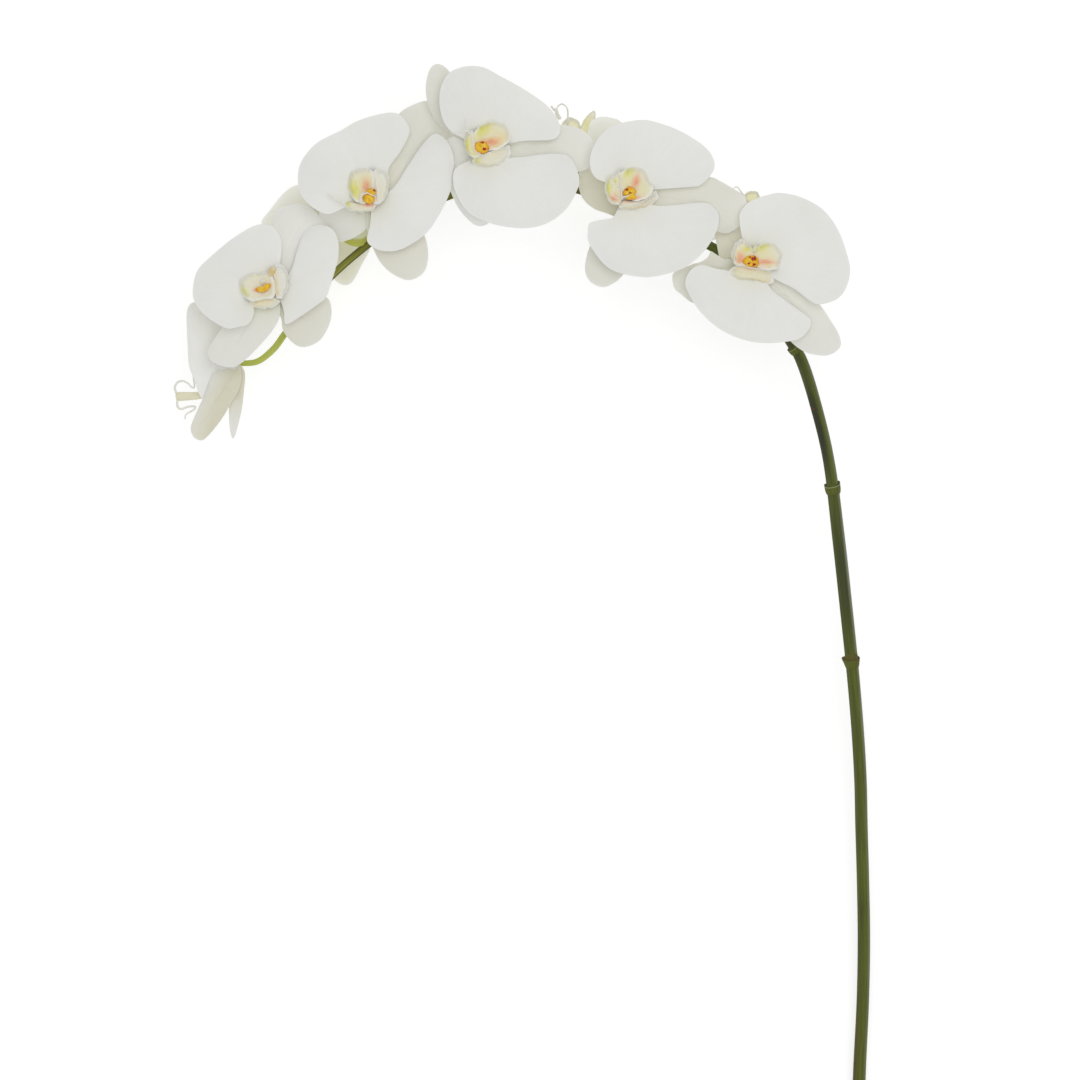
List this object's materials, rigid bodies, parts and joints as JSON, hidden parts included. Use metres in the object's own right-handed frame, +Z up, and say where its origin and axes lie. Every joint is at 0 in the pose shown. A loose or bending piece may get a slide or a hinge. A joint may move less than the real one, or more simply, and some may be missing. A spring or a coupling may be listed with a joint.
{
  "type": "moth orchid stem",
  "caption": "Cut moth orchid flower stem with an arched spray of white blooms and cream lips, lying on its side, for decoration.",
  "frame": {"origin": "on the surface the stem lies on, under the middle of the whole spray's bounding box", "axes": "+Z up from the surface, towards the viewer that the open blooms face; +Y along the stem from its cut end towards the top of the arch; +X towards the bloom nearest the cut end, away from the drooping tip"},
  "size_m": [0.4398, 0.6924, 0.093],
  "materials": {
    "petal_white": "soft matt white, thin and slightly translucent, petal tissue",
    "lip_cream": "matt cream and yellow with fine red spots and streaks",
    "stem_green": "smooth satin olive green skin"
  },
  "bodies": {
    "root": {"stem": "stem_green", "bloom_1_tepals": "petal_white", "bloom_1_lip": "lip_cream", "bloom_2_tepals": "petal_white", "bloom_2_lip": "lip_cream", "bloom_3_tepals": "petal_white", "bloom_3_lip": "lip_cream", "bloom_4_tepals": "petal_white", "bloom_4_lip": "lip_cream", "bloom_5_tepals": "petal_white", "bloom_5_lip": "lip_cream", "bloom_6_tepals": "petal_white", "bloom_6_lip": "lip_cream", "bloom_7_tepals": "petal_white", "bloom_7_lip": "lip_cream", "bloom_8_tepals": "petal_white", "bloom_8_lip": "lip_cream", "bloom_9_tepals": "petal_white", "bloom_9_lip": "lip_cream"}
  },
  "joints": []
}
